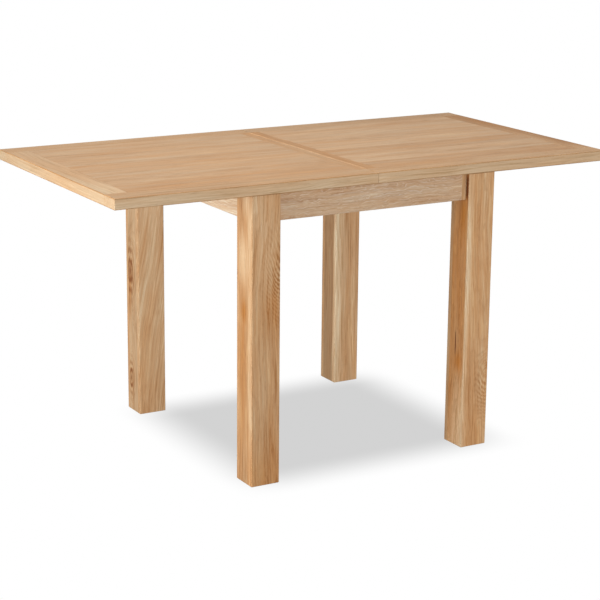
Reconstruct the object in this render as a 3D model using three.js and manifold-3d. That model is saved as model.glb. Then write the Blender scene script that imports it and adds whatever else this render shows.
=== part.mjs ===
// A fold-over extending dining table in oak, shown open.
// Two equal leaves meet at a seam over the middle of a square base. The whole top slides
// along the base by half a leaf, and the flip leaf folds over onto the carrier leaf.
// Millimetres, +X along the table, +Y to the back, +Z up, origin on the floor under the centre.
import * as THREE from 'three';
import { mergeVertices } from 'three/addons/utils/BufferGeometryUtils.js';
import Module from 'manifold-3d';

const wasm = await Module();
wasm.setup();

// Driving dimensions.
const TABLE_HEIGHT = 780;
const LEAF_LENGTH = 725;
const LEAF_DEPTH = 750;
const TOP_THICKNESS = 28;
const BORDER_WIDTH = 60;
const SEAM_BORDER_WIDTH = 30;
const LEG_SIDE = 80;
const APRON_HEIGHT = 68;
const APRON_THICKNESS = 22;
const APRON_RECESS = 12;

// Clearances and eased edges.
const LEG_INSET = 2;
const JOINT_GAP = 0.3;
const SLIDE_CLEARANCE = 2;
const LEG_CLEARANCE = 0.5;
const TOP_ARRIS = 2;
const LEG_ARRIS = 2;
const PIECE_OVERRUN = 20;

// Heights.
const TOP_UNDERSIDE = TABLE_HEIGHT - TOP_THICKNESS;
const BASE_TOP = TOP_UNDERSIDE - SLIDE_CLEARANCE;
const LEG_TOP = TOP_UNDERSIDE - LEG_CLEARANCE;
const APRON_BOTTOM = BASE_TOP - APRON_HEIGHT;
const FOOT_GLIDE_THICKNESS = 2;
const FOOT_GLIDE_RADIUS = 15;

// Plan of the base.
const BASE_HALF_LENGTH = LEAF_LENGTH / 2 - LEG_INSET;
const BASE_HALF_DEPTH = LEAF_DEPTH / 2 - LEG_INSET;
const LEG_INNER_X = BASE_HALF_LENGTH - LEG_SIDE;
const LEG_INNER_Y = BASE_HALF_DEPTH - LEG_SIDE;
const APRON_OUTER_X = BASE_HALF_LENGTH - APRON_RECESS;
const APRON_OUTER_Y = BASE_HALF_DEPTH - APRON_RECESS;
const APRON_INNER_X = APRON_OUTER_X - APRON_THICKNESS;
const APRON_INNER_Y = APRON_OUTER_Y - APRON_THICKNESS;

// Corner braces and leg bolts, measured along the diagonal of each corner.
const LEG_FLAT = 16;
const BRACE_STANDOFF = 3;
const BRACE_THICKNESS = 20;
const BRACE_BOTTOM = APRON_BOTTOM + 6;
const BRACE_TOP = BASE_TOP - 6;
const BOLT_Z = (BRACE_BOTTOM + BRACE_TOP) / 2;
const BOLT_RADIUS = 4;
const BOLT_IN_LEG = 45;
const BOLT_PAST_NUT = 4;
const NUT_FLAT_RADIUS = 7.5;
const NUT_THICKNESS = 6.5;
const NUT_FLANGE_RADIUS = 10;
const NUT_FLANGE_THICKNESS = 1.6;
const BORE_CLEARANCE = 0.4;

// Guide rails, runners and the bearer under them.
const RAIL_INNER_Y = 175;
const RAIL_THICKNESS = 30;
const RAIL_TOP = BASE_TOP - 2;
const RAIL_HEIGHT = 42;
const RAIL_BOTTOM = RAIL_TOP - RAIL_HEIGHT;
const TENON_LENGTH = 8;
const TENON_THICKNESS = 12;
const TENON_HEIGHT = 24;
const GROOVE_DEPTH = 10;
const GROOVE_HEIGHT = 12.6;
const GROOVE_BOTTOM = 722;
const TONGUE_LENGTH = 9;
const TONGUE_HEIGHT = 11.6;
const RUNNER_THICKNESS = 28;
const RUNNER_BOTTOM = 712;
const RUNNER_SIDE_GAP = 0.5;
const BEARER_HALF_WIDTH = 30;
const BEARER_THICKNESS = 22;
const CROSS_BAR_WIDTH = 30;
const CROSS_BAR_THICKNESS = 22;
const CROSS_BAR_SETBACK = 22;
const BUMPER_LENGTH = 6.2;
const BUMPER_RADIUS = 8;
const BUMPER_Z = 735;
const GLIDE_STRIP_WIDTH = 10;
const GLIDE_STRIP_THICKNESS = 1.6;
const GLIDE_STRIP_END_GAP = 6;

// The top slides by half a leaf, and the runners are as long as that leaves room for.
const SLIDE_TRAVEL = LEAF_LENGTH / 2;
const RUNNER_START = -APRON_INNER_X + BUMPER_LENGTH + JOINT_GAP;
const RUNNER_LENGTH = -2 * RUNNER_START - SLIDE_TRAVEL;
const RUNNER_END = RUNNER_START + RUNNER_LENGTH;

// Concealed hinges in the seam. The fold axis is just above the top surface.
const FOLD_AXIS_Z = TABLE_HEIGHT + 0.25;
const HINGE_POSITIONS = { front: -250, middle: 0, back: 250 };
const BARREL_RADIUS = 7;
const BARREL_LENGTH = 19.2;
const BARREL_Z = 771;
const BARREL_SETBACK = 0.6;
const SLOT_WIDTH = 5;
const SLOT_DEPTH = 14;
const LINK_WIDTH = 4.2;
const LINK_OUTER_RADIUS = 13;
const LINK_INNER_RADIUS = 6;
const LINK_TOP_DROP = 3;
const HINGE_BORE_RADIUS = BARREL_RADIUS + BORE_CLEARANCE;
const HINGE_BORE_DEPTH = BARREL_SETBACK + BARREL_LENGTH + BORE_CLEARANCE;

// Facets of the round pieces.
const SMALL_SIDES = 16;
const BARREL_SIDES = 24;
const ARC_STEPS = 14;

const plainMaterial = (color, roughness, metalness) =>
  new THREE.MeshStandardMaterial({ color, roughness, metalness });
const OAK_TOP = plainMaterial(0xd2a878, 0.5, 0);
const OAK_BORDER = plainMaterial(0xcfa26c, 0.5, 0);
const OAK_LEG = plainMaterial(0xdcb07c, 0.5, 0);
const OAK_APRON = plainMaterial(0xd6b083, 0.5, 0);
const BEECH = plainMaterial(0xd9bd95, 0.6, 0);
const STEEL = plainMaterial(0xb8bcc0, 0.35, 1);
const BRASS = plainMaterial(0xb9975b, 0.35, 1);
const NYLON = plainMaterial(0xe6e2d8, 0.5, 0);
const RUBBER = plainMaterial(0x2b2b2b, 0.9, 0);

const table = new THREE.Group();
const base = new THREE.Group();
const top = new THREE.Group();
table.add(base, top);

function addMesh(parent, name, geometry, material) {
  const mesh = new THREE.Mesh(geometry, material);
  mesh.name = name;
  parent.add(mesh);
}

// Geometry helpers. Each takes world coordinates and returns a geometry in place.
function block([x0, x1], [y0, y1], [z0, z1]) {
  const geometry = new THREE.BoxGeometry(x1 - x0, y1 - y0, z1 - z0);
  return geometry.translate((x0 + x1) / 2, (y0 + y1) / 2, (z0 + z1) / 2);
}

function outline(points) {
  return new THREE.Shape(points.map(([a, b]) => new THREE.Vector2(a, b)));
}

// An outline of [x, y] points, extruded upwards.
function extrudeUp(points, [z0, z1]) {
  const options = { depth: z1 - z0, bevelEnabled: false };
  return new THREE.ExtrudeGeometry(outline(points), options).translate(0, 0, z0);
}

// An outline of [y, z] points, extruded along X.
function extrudeAlongX(points, [x0, x1]) {
  const options = { depth: x1 - x0, bevelEnabled: false };
  const geometry = new THREE.ExtrudeGeometry(outline(points), options);
  const toX = new THREE.Matrix4().set(0, 0, 1, x0, 1, 0, 0, 0, 0, 1, 0, 0, 0, 0, 0, 1);
  return geometry.applyMatrix4(toX);
}

// An outline of [z, x] points, extruded along Y.
function extrudeAlongY(points, [y0, y1]) {
  const options = { depth: y1 - y0, bevelEnabled: false };
  const geometry = new THREE.ExtrudeGeometry(outline(points), options);
  const toY = new THREE.Matrix4().set(0, 1, 0, 0, 0, 0, 1, y0, 1, 0, 0, 0, 0, 0, 0, 1);
  return geometry.applyMatrix4(toY);
}

// A round rod between two points.
function rod(radius, from, to, sides) {
  const start = new THREE.Vector3(...from);
  const along = new THREE.Vector3(...to).sub(start);
  const geometry = new THREE.CylinderGeometry(radius, radius, along.length(), sides);
  const turn = new THREE.Quaternion().setFromUnitVectors(
    new THREE.Vector3(0, 1, 0), along.clone().normalize());
  const middle = start.addScaledVector(along, 0.5);
  return geometry.applyQuaternion(turn).translate(middle.x, middle.y, middle.z);
}

// Booleans.
function toSolid(geometry) {
  const bare = geometry.clone();
  bare.deleteAttribute('normal');
  bare.deleteAttribute('uv');
  const merged = mergeVertices(bare, 1e-4);
  return new wasm.Manifold(new wasm.Mesh({
    numProp: 3,
    vertProperties: new Float32Array(merged.attributes.position.array),
    triVerts: new Uint32Array(merged.index.array),
  }));
}

function toGeometry(solid) {
  const mesh = solid.getMesh();
  const geometry = new THREE.BufferGeometry();
  geometry.setAttribute('position', new THREE.BufferAttribute(mesh.vertProperties, 3));
  geometry.setIndex(new THREE.BufferAttribute(mesh.triVerts, 1));
  return geometry;
}

function cut(geometry, tools) {
  let solid = toSolid(geometry);
  for (const tool of tools) {
    solid = solid.subtract(toSolid(tool));
  }
  return toGeometry(solid);
}

const CORNERS = [
  { name: 'front_left', sx: -1, sy: -1 },
  { name: 'front_right', sx: 1, sy: -1 },
  { name: 'back_left', sx: -1, sy: 1 },
  { name: 'back_right', sx: 1, sy: 1 },
];

// Distances along a corner's outward diagonal, from the table's vertical axis.
const LEG_CENTRE_X = BASE_HALF_LENGTH - LEG_SIDE / 2;
const LEG_CENTRE_Y = BASE_HALF_DEPTH - LEG_SIDE / 2;
const FLAT_SUM = LEG_INNER_X + LEG_INNER_Y + LEG_FLAT;
const BRACE_OUTER_SUM = FLAT_SUM - BRACE_STANDOFF * Math.SQRT2;
const BRACE_INNER_SUM = BRACE_OUTER_SUM - BRACE_THICKNESS * Math.SQRT2;

// The point on a corner's diagonal through the leg's centre where |x| + |y| has a given sum.
function diagonalPoint({ sx, sy }, sum, z) {
  const skew = LEG_CENTRE_X - LEG_CENTRE_Y;
  return [sx * (sum + skew) / 2, sy * (sum - skew) / 2, z];
}

function boltRod(corner, radius, fromSum, toSum) {
  const from = diagonalPoint(corner, fromSum, BOLT_Z);
  const to = diagonalPoint(corner, toSum, BOLT_Z);
  return rod(radius, from, to, SMALL_SIDES);
}

const BOLT_DEEP_SUM = FLAT_SUM + BOLT_IN_LEG * Math.SQRT2;
const NUT_OUTER_SUM = BRACE_INNER_SUM - (NUT_FLANGE_THICKNESS + NUT_THICKNESS) * Math.SQRT2;
const BOLT_TIP_SUM = NUT_OUTER_SUM - BOLT_PAST_NUT * Math.SQRT2;

// A square leg with eased corners. Its inner corner is cut flat behind the corner brace.
function makeLeg(corner) {
  const { sx, sy, name } = corner;
  const [x0, x1] = [LEG_INNER_X, BASE_HALF_LENGTH];
  const [y0, y1] = [LEG_INNER_Y, BASE_HALF_DEPTH];
  const a = LEG_ARRIS;
  const points = [
    [x0 + a, y0], [x1 - a, y0], [x1, y0 + a], [x1, y1 - a],
    [x1 - a, y1], [x0 + a, y1], [x0, y1 - a], [x0, y0 + a],
  ].map(([x, y]) => [sx * x, sy * y]);
  const post = extrudeUp(points, [FOOT_GLIDE_THICKNESS, LEG_TOP]);
  const flatCorner = [
    [x0 - PIECE_OVERRUN, y0 - PIECE_OVERRUN],
    [FLAT_SUM - y0 + PIECE_OVERRUN, y0 - PIECE_OVERRUN],
    [x0 - PIECE_OVERRUN, FLAT_SUM - x0 + PIECE_OVERRUN],
  ].map(([x, y]) => [sx * x, sy * y]);
  const flat = extrudeUp(flatCorner, [APRON_BOTTOM, LEG_TOP + PIECE_OVERRUN]);
  const boreEnd = BOLT_DEEP_SUM + JOINT_GAP * Math.SQRT2;
  const bore = boltRod(corner, BOLT_RADIUS + BORE_CLEARANCE, boreEnd, BRACE_INNER_SUM);
  addMesh(base, `leg_${name}`, cut(post, [flat, bore]), OAK_LEG);
  const centre = [sx * LEG_CENTRE_X, sy * LEG_CENTRE_Y];
  const glide = rod(FOOT_GLIDE_RADIUS, [...centre, 0], [...centre, FOOT_GLIDE_THICKNESS], BARREL_SIDES);
  addMesh(base, `foot_glide_${name}`, glide, NYLON);
}

// A diagonal brace between two aprons, with the leg bolt and its flanged nut.
function makeBrace(corner) {
  const { sx, sy, name } = corner;
  const wallX = APRON_INNER_X - JOINT_GAP;
  const wallY = APRON_INNER_Y - JOINT_GAP;
  const points = [
    [wallX, BRACE_OUTER_SUM - wallX], [BRACE_OUTER_SUM - wallY, wallY],
    [BRACE_INNER_SUM - wallY, wallY], [wallX, BRACE_INNER_SUM - wallX],
  ].map(([x, y]) => [sx * x, sy * y]);
  const board = extrudeUp(points, [BRACE_BOTTOM, BRACE_TOP]);
  const bore = boltRod(corner, BOLT_RADIUS + BORE_CLEARANCE, FLAT_SUM, BOLT_TIP_SUM);
  addMesh(base, `corner_brace_${name}`, cut(board, [bore]), BEECH);
  const bolt = boltRod(corner, BOLT_RADIUS, BOLT_DEEP_SUM, BOLT_TIP_SUM);
  addMesh(base, `leg_bolt_${name}`, bolt, STEEL);
  addMesh(base, `leg_nut_${name}`, makeNut(corner), STEEL);
}

function makeNut(corner) {
  const seat = BRACE_INNER_SUM - JOINT_GAP * Math.SQRT2;
  const flangeEnd = seat - NUT_FLANGE_THICKNESS * Math.SQRT2;
  const flange = boltRod(corner, NUT_FLANGE_RADIUS, seat, flangeEnd);
  const hexStart = diagonalPoint(corner, seat - Math.SQRT2 / 2, BOLT_Z);
  const hex = rod(NUT_FLAT_RADIUS, hexStart, diagonalPoint(corner, NUT_OUTER_SUM, BOLT_Z), 6);
  const bore = boltRod(corner, BOLT_RADIUS + BORE_CLEARANCE, FLAT_SUM, BOLT_TIP_SUM);
  return toGeometry(toSolid(flange).add(toSolid(hex)).subtract(toSolid(bore)));
}

// Front and back aprons run between the legs. The side aprons also take the rails' tenons.
function makeAprons() {
  for (const [name, sy] of [['front', -1], ['back', 1]]) {
    const ys = [sy * APRON_INNER_Y, sy * APRON_OUTER_Y].sort((p, q) => p - q);
    const board = block([-LEG_INNER_X, LEG_INNER_X], ys, [APRON_BOTTOM, BASE_TOP]);
    addMesh(base, `apron_${name}`, board, OAK_APRON);
    const middle = sy * (APRON_INNER_Y + APRON_OUTER_Y) / 2;
    const stripHalf = LEG_INNER_X - GLIDE_STRIP_END_GAP;
    const strip = block([-stripHalf, stripHalf],
      [middle - GLIDE_STRIP_WIDTH / 2, middle + GLIDE_STRIP_WIDTH / 2],
      [BASE_TOP, BASE_TOP + GLIDE_STRIP_THICKNESS]);
    addMesh(base, `glide_strip_${name}`, strip, NYLON);
  }
  for (const [name, sx] of [['left', -1], ['right', 1]]) {
    const xs = [sx * APRON_INNER_X, sx * APRON_OUTER_X].sort((p, q) => p - q);
    const board = block(xs, [-LEG_INNER_Y, LEG_INNER_Y], [APRON_BOTTOM, BASE_TOP]);
    const mortises = [-1, 1].map((sy) => tenon(sx, sy, JOINT_GAP));
    addMesh(base, `apron_${name}`, cut(board, mortises), OAK_APRON);
  }
}

// The stub tenon at one end of a rail, or with a gap the mortise that takes it.
function tenon(sx, sy, gap) {
  const middleY = sy * (RAIL_INNER_Y + RAIL_THICKNESS / 2);
  const middleZ = RAIL_BOTTOM + RAIL_HEIGHT / 2;
  const halfY = TENON_THICKNESS / 2 + gap;
  const halfZ = TENON_HEIGHT / 2 + gap;
  const inner = APRON_INNER_X - 1;
  const xs = [sx * inner, sx * (APRON_INNER_X + TENON_LENGTH + gap)].sort((p, q) => p - q);
  return block(xs, [middleY - halfY, middleY + halfY], [middleZ - halfZ, middleZ + halfZ]);
}

// A rail with a groove along its inner face, tenoned into the side aprons.
function makeRail(name, sy) {
  const y0 = RAIL_INNER_Y;
  const y1 = RAIL_INNER_Y + RAIL_THICKNESS;
  const points = [
    [y0, RAIL_BOTTOM], [y1, RAIL_BOTTOM], [y1, RAIL_TOP], [y0, RAIL_TOP],
    [y0, GROOVE_BOTTOM + GROOVE_HEIGHT], [y0 + GROOVE_DEPTH, GROOVE_BOTTOM + GROOVE_HEIGHT],
    [y0 + GROOVE_DEPTH, GROOVE_BOTTOM], [y0, GROOVE_BOTTOM],
  ].map(([y, z]) => [sy * y, z]);
  const half = APRON_INNER_X - JOINT_GAP;
  const length = toSolid(extrudeAlongX(points, [-half, half]));
  const left = toSolid(tenon(-1, sy, 0)).subtract(grooveTool(sy));
  const right = toSolid(tenon(1, sy, 0)).subtract(grooveTool(sy));
  addMesh(base, `guide_rail_${name}`, toGeometry(length.add(left).add(right)), BEECH);
}

function grooveTool(sy) {
  const ys = [sy * (RAIL_INNER_Y - 1), sy * (RAIL_INNER_Y + GROOVE_DEPTH)].sort((p, q) => p - q);
  const half = APRON_INNER_X + PIECE_OVERRUN;
  return toSolid(block([-half, half], ys, [GROOVE_BOTTOM, GROOVE_BOTTOM + GROOVE_HEIGHT]));
}

// A flat bearer between the front and back aprons, under both rails.
function makeBearer() {
  const bearerTop = RAIL_BOTTOM - JOINT_GAP;
  const half = APRON_INNER_Y - JOINT_GAP;
  const bearer = block([-BEARER_HALF_WIDTH, BEARER_HALF_WIDTH], [-half, half],
    [bearerTop - BEARER_THICKNESS, bearerTop]);
  addMesh(base, 'cross_bearer', bearer, BEECH);
}

// Rubber stops on the side aprons, in line with the runners' ends.
function makeBumpers() {
  for (const { name, sx, sy } of CORNERS) {
    const y = sy * (RAIL_INNER_Y - RUNNER_SIDE_GAP - RUNNER_THICKNESS / 2);
    const from = [sx * APRON_INNER_X, y, BUMPER_Z];
    const to = [sx * (APRON_INNER_X - BUMPER_LENGTH), y, BUMPER_Z];
    addMesh(base, `bumper_${name}`, rod(BUMPER_RADIUS, from, to, SMALL_SIDES), RUBBER);
  }
}

// A runner under the carrier leaf, with a tongue that slides in its rail's groove.
function makeRunner(name, sy) {
  const outer = RAIL_INNER_Y - RUNNER_SIDE_GAP;
  const inner = outer - RUNNER_THICKNESS;
  const tip = outer + TONGUE_LENGTH;
  const tongueBottom = GROOVE_BOTTOM + (GROOVE_HEIGHT - TONGUE_HEIGHT) / 2;
  const points = [
    [inner, RUNNER_BOTTOM], [outer, RUNNER_BOTTOM], [outer, tongueBottom],
    [tip, tongueBottom], [tip, tongueBottom + TONGUE_HEIGHT],
    [outer, tongueBottom + TONGUE_HEIGHT], [outer, TOP_UNDERSIDE], [inner, TOP_UNDERSIDE],
  ].map(([y, z]) => [sy * y, z]);
  addMesh(top, `runner_${name}`, extrudeAlongX(points, [RUNNER_START, RUNNER_END]), BEECH);
}

// Two bars across the runners keep them square.
function makeCrossBars() {
  const half = RAIL_INNER_Y - RUNNER_SIDE_GAP - RUNNER_THICKNESS - JOINT_GAP;
  const starts = {
    outer: RUNNER_START + CROSS_BAR_SETBACK,
    inner: RUNNER_END - CROSS_BAR_SETBACK - CROSS_BAR_WIDTH,
  };
  for (const [name, start] of Object.entries(starts)) {
    const bar = block([start, start + CROSS_BAR_WIDTH], [-half, half],
      [TOP_UNDERSIDE - CROSS_BAR_THICKNESS, TOP_UNDERSIDE]);
    addMesh(top, `cross_bar_${name}`, bar, BEECH);
  }
}

// One leaf as a slab with eased outer edges. It runs past the seam, where each piece is cut.
function leafBlank(side) {
  const a = TOP_ARRIS;
  const half = LEAF_DEPTH / 2 - a;
  const points = [
    [-side * PIECE_OVERRUN, -half], [side * (LEAF_LENGTH - a), -half],
    [side * (LEAF_LENGTH - a), half], [-side * PIECE_OVERRUN, half],
  ];
  const options = {
    depth: TOP_THICKNESS - 2 * a,
    bevelEnabled: true,
    bevelThickness: a,
    bevelSize: a,
    bevelSegments: 1,
  };
  const slab = new THREE.ExtrudeGeometry(outline(points), options);
  return toSolid(slab.translate(0, 0, TOP_UNDERSIDE + a));
}

// Frame borders around a panel. The front and back borders run the whole length of the leaf.
function makeLeaf(name, side) {
  const blank = leafBlank(side);
  const g = JOINT_GAP;
  const seam = g;
  const end = LEAF_LENGTH;
  const depth = LEAF_DEPTH / 2;
  const innerY = depth - BORDER_WIDTH;
  const seamInner = seam + SEAM_BORDER_WIDTH;
  const endInner = end - BORDER_WIDTH;
  const regions = {
    front_border: [[seam, end], [-depth, -innerY]],
    back_border: [[seam, end], [innerY, depth]],
    end_border: [[endInner, end], [-innerY + g, innerY - g]],
    seam_border: [[seam, seamInner], [-innerY + g, innerY - g]],
    panel: [[seamInner + g, endInner - g], [-innerY + g, innerY - g]],
  };
  for (const [piece, [xs, ys]] of Object.entries(regions)) {
    const span = xs.map((x) => side * x).sort((p, q) => p - q);
    const region = block(span, ys, [TOP_UNDERSIDE, TABLE_HEIGHT]);
    let solid = toSolid(region).intersect(blank);
    if (piece === 'seam_border') {
      for (const y of Object.values(HINGE_POSITIONS)) {
        const from = [-side * PIECE_OVERRUN, y, BARREL_Z];
        const to = [side * (seam + HINGE_BORE_DEPTH), y, BARREL_Z];
        solid = solid.subtract(toSolid(rod(HINGE_BORE_RADIUS, from, to, BARREL_SIDES)));
      }
    }
    const material = piece === 'panel' ? OAK_TOP : OAK_BORDER;
    addMesh(top, `${name}_leaf_${piece}`, toGeometry(solid), material);
  }
}

// One slotted barrel of a concealed hinge, let into the seam face of a leaf.
function makeBarrel(name, side, y) {
  const seamFace = side * (JOINT_GAP + BARREL_SETBACK);
  const rear = side * (JOINT_GAP + BARREL_SETBACK + BARREL_LENGTH);
  const body = rod(BARREL_RADIUS, [seamFace, y, BARREL_Z], [rear, y, BARREL_Z], BARREL_SIDES);
  const slotSpan = [-side * PIECE_OVERRUN, side * (JOINT_GAP + BARREL_SETBACK + SLOT_DEPTH)];
  const slot = block(slotSpan.sort((p, q) => p - q),
    [y - SLOT_WIDTH / 2, y + SLOT_WIDTH / 2],
    [BARREL_Z - PIECE_OVERRUN, BARREL_Z + PIECE_OVERRUN]);
  addMesh(top, name, cut(body, [slot]), BRASS);
}

// The curved link lies in both slots below the fold axis and swings out as the leaf folds.
function makeLink(name, y) {
  const points = [];
  const outerStart = Math.asin(LINK_TOP_DROP / LINK_OUTER_RADIUS);
  const innerStart = Math.asin(LINK_TOP_DROP / LINK_INNER_RADIUS);
  for (let i = 0; i <= ARC_STEPS; i += 1) {
    const angle = outerStart + (Math.PI - 2 * outerStart) * i / ARC_STEPS;
    points.push([FOLD_AXIS_Z - LINK_OUTER_RADIUS * Math.sin(angle), LINK_OUTER_RADIUS * Math.cos(angle)]);
  }
  for (let i = ARC_STEPS; i >= 0; i -= 1) {
    const angle = innerStart + (Math.PI - 2 * innerStart) * i / ARC_STEPS;
    points.push([FOLD_AXIS_Z - LINK_INNER_RADIUS * Math.sin(angle), LINK_INNER_RADIUS * Math.cos(angle)]);
  }
  addMesh(top, name, extrudeAlongY(points, [y - LINK_WIDTH / 2, y + LINK_WIDTH / 2]), BRASS);
}

for (const corner of CORNERS) {
  makeLeg(corner);
  makeBrace(corner);
}
makeAprons();
makeBearer();
makeBumpers();
for (const [name, sy] of [['front', -1], ['back', 1]]) {
  makeRail(name, sy);
  makeRunner(name, sy);
}
makeCrossBars();
makeLeaf('carrier', -1);
makeLeaf('flip', 1);
for (const [name, y] of Object.entries(HINGE_POSITIONS)) {
  makeBarrel(`hinge_barrel_carrier_${name}`, -1, y);
  makeBarrel(`hinge_barrel_flip_${name}`, 1, y);
  makeLink(`hinge_link_${name}`, y);
}

export default table;
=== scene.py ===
"""A fold-over extending dining table in light oak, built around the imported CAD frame.

Metres, +X along the table, +Y to the back, +Z up. Every visible piece takes its place and
size from the box of the CAD node that it stands for.
"""
import math
import random
from dataclasses import dataclass, field

import bmesh
import bpy
from mathutils import Matrix, Vector


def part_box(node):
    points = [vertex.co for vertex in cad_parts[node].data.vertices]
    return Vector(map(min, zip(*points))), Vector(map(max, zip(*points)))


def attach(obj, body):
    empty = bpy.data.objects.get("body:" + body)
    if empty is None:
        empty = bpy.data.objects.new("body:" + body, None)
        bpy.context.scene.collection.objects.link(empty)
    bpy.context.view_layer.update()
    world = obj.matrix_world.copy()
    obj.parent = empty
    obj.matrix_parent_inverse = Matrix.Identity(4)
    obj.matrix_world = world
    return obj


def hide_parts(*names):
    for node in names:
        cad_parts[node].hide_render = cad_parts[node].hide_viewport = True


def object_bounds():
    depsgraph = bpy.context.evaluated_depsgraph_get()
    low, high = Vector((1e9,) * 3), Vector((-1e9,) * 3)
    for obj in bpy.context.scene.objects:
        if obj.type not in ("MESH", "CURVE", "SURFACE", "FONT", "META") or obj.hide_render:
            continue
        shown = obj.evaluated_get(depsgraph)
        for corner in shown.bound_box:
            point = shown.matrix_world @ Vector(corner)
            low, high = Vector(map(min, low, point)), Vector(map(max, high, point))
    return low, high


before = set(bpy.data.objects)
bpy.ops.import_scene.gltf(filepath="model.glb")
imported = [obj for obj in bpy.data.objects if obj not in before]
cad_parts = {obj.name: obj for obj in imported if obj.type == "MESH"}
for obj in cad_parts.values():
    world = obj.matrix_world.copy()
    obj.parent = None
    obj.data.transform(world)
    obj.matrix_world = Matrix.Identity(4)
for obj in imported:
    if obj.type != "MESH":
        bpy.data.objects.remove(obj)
cad_low, cad_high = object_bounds()

MM = 0.001
X, Y, Z = 0, 1, 2

# Camera.
CAMERA_POSITION = (-2.386, -4.128, 1.612)
CAMERA_YAW = 29.93
CAMERA_PITCH = -14.69
CAMERA_ROLL = 0.55
CAMERA_LENS = 107.6

# Lights: a softbox close to the left end, a broad one above, and a fill near the camera. Each
# has its name, place, size, power, target and colour, and whether reflections show it.
LIGHTS = (
    ("left_softbox", (-2.4, -0.35, 0.62), (1.1, 0.8), 41.5, (0, -0.35, 0.5), (1, 1, 1), False),
    ("overhead", (-0.55, 0.0, 3.2), (2.0, 2.0), 53, (0, 0, 0), (1.0, 0.99, 0.97), True),
    ("front_fill", (2.2, -8.0, 0.6), (2.4, 1.2), 276, (0, 0, 0.45), (0.98, 1.0, 1.06), False),
)
WORLD_LIGHT = 0.40
FLOOR_SIZE = 90
FLOOR_LIGHT = 0.31
SHADOW_DEPTH = 0.35
SHADOW_BLUR = 0.10
SHADOW_SPAN = ((-0.33, 0.40), (-0.36, 0.33))

# Eased edges of the wood and of the nylon strips and brass links.
TOP_ARRIS = 2.0 * MM
SEAM_ARRIS = 1.5 * MM
JOINT_ARRIS = 0.35 * MM
LEG_ARRIS = 2.2 * MM
APRON_ARRIS = 1.6 * MM
HIDDEN_ARRIS = 1.0 * MM
RAIL_ARRIS = 0.6 * MM
RUNNER_ARRIS = 0.8 * MM
STRIP_ARRIS = 0.8 * MM
BATTEN_ARRIS = 1.6 * MM
BATTEN_END_ARRIS = 0.6 * MM
FINE_ARRIS = 0.2 * MM
LINK_ARRIS = 0.35 * MM
ARRIS_SEGMENTS = 3

# Faces: how near a side one belongs to it, the slope of an eased corner, and the limits for
# taking two places as one, a face as square to an axis and a face as small.
EDGE_DEPTH = 3 * MM
RIM_SLOPE = 0.15
SAME_PLACE = 1e-6
SQUARE_ON = 0.9999
SMALL_FACE = 2e-3

# How the wood is glued up. A plank has a tone and a warmth, and PLANK_DRIFT is the share of
# its width by which its joint may move.
PLANK_TONES = {
    "carrier": (
        (0.97, 0.4), (0.99, 0.1), (1.0, 0.05), (0.985, 0.1), (1.0, -0.05), (0.975, 0.1), (0.98, 0.0),
    ),
    "flip": (
        (0.96, 0.6), (1.03, -0.2), (0.96, 0.4), (1.04, -0.3), (1.0, 0.0), (1.02, -0.2), (0.98, 0.0),
    ),
}
PLANK_DRIFT = 0.16
LEG_FACING = 14 * MM
APRON_END_STRIP = 15 * MM
BORDER_JOINT_X = 560 * MM
BORDER_END_TONE = (1.07, -0.1)
LONG_BORDER_TONES = {"front": (0.97, 1.02), "back": (0.91, 0.96)}

# The start of a piece's first board, and the rest of a board that isn't picked out: where the
# pith lies beside and behind the middle, tone, warmth and the place along the log. The
# boards of the legs also vary a little about their own tone and warmth.
FIRST = -1e9
PITH_BESIDE = 0.07
PITH_BEHIND = (0.03, 0.11)
TONE_RANGE = (0.95, 1.05)
WARMTH_RANGE = (-0.2, 0.3)
LOG_REACH = 40
LEG_TONE_RANGE = (0.98, 1.02)
LEG_WARMTH_RANGE = (-0.1, 0.1)

# Woods: pale, middle and deep colour, width and depth of the rings, roughness, depth of the
# pores, contrast, and the colour of the rings where it isn't RING_BROWN.
WOODS = {
    "oak_panel": ("D6AF83", "CAA279", "B88C5F", 3.4 * MM, 0.20, 0.42, 0.28, 1.15),
    "oak_border": ("D6B085", "C89F74", "B08558", 3.4 * MM, 0.20, 0.42, 0.25, 0.95),
    "oak_leg": ("DFBC8F", "CC9E70", "AD7847", 3.6 * MM, 0.22, 0.44, 0.25, 1.0),
    "oak_apron": ("DCC29F", "C7A27D", "B0855F", 2.4 * MM, 0.55, 0.46, 0.2, 1.0, "E9D8C0"),
    "beech": ("E2C8A4", "D6B78F", "C7A279", 2.6 * MM, 0.08, 0.55, 0.08, 0.6),
}
RING_BROWN = "9C6E40"
PORE_BROWN = "6E4A2A"
KNOT_BROWN = "7A4218"
# The dark of cracks, also used as painted shade for a dark slot in a recess.
CRACK_AND_SHADE_BROWN = "642C12"
WARM_TINT = (0.0, -0.13, -0.30)
HUE_DRIFT = 3.4

# Bends of the pith line: frequency along the grain and across it, detail and reach.
BENDS = {"slow": (2.2, 5.0, 1.5, 0.045), "fast": (9, 40, 2.0, 0.004), "ripple": (30, 60, 1.0, 0.012)}
# Textures of the wood: frequency along the grain and across it, detail and roughness.
TEXTURES = {
    "dash": (26, 380, 2.0, 0.6), "streak": (2.6, 85, 4.0, 0.65), "thread": (7.0, 260, 2.0, 0.6),
    "cloud": (2.4, 18, 2.0, 0.5), "hue": (3.0, 28, 4.0, 0.65), "fibre": (9, 420, 3.0, 0.6),
    "pore": (80, 1500, 2.0, 0.6),
}
# The porous line of a ring: share of the ring's width and strength.
RING_LINE = ((0.0, 0.0), (0.12, 1.0), (0.30, 0.55), (0.65, 0.0), (1.0, 0.0))

# Metals: colour and roughness. Plastics: two colours, roughness and fineness of the texture.
METALS = {"steel": ("C4C6C8", 0.26), "brass": ("CDAE6E", 0.24)}
DULL_METAL = "C9C2B8"
PLASTICS = {"nylon": ("ECE8DF", "DFD9CC", 0.42, 900), "rubber": ("2E2E2E", "232323", 0.75, 1400)}

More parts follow.
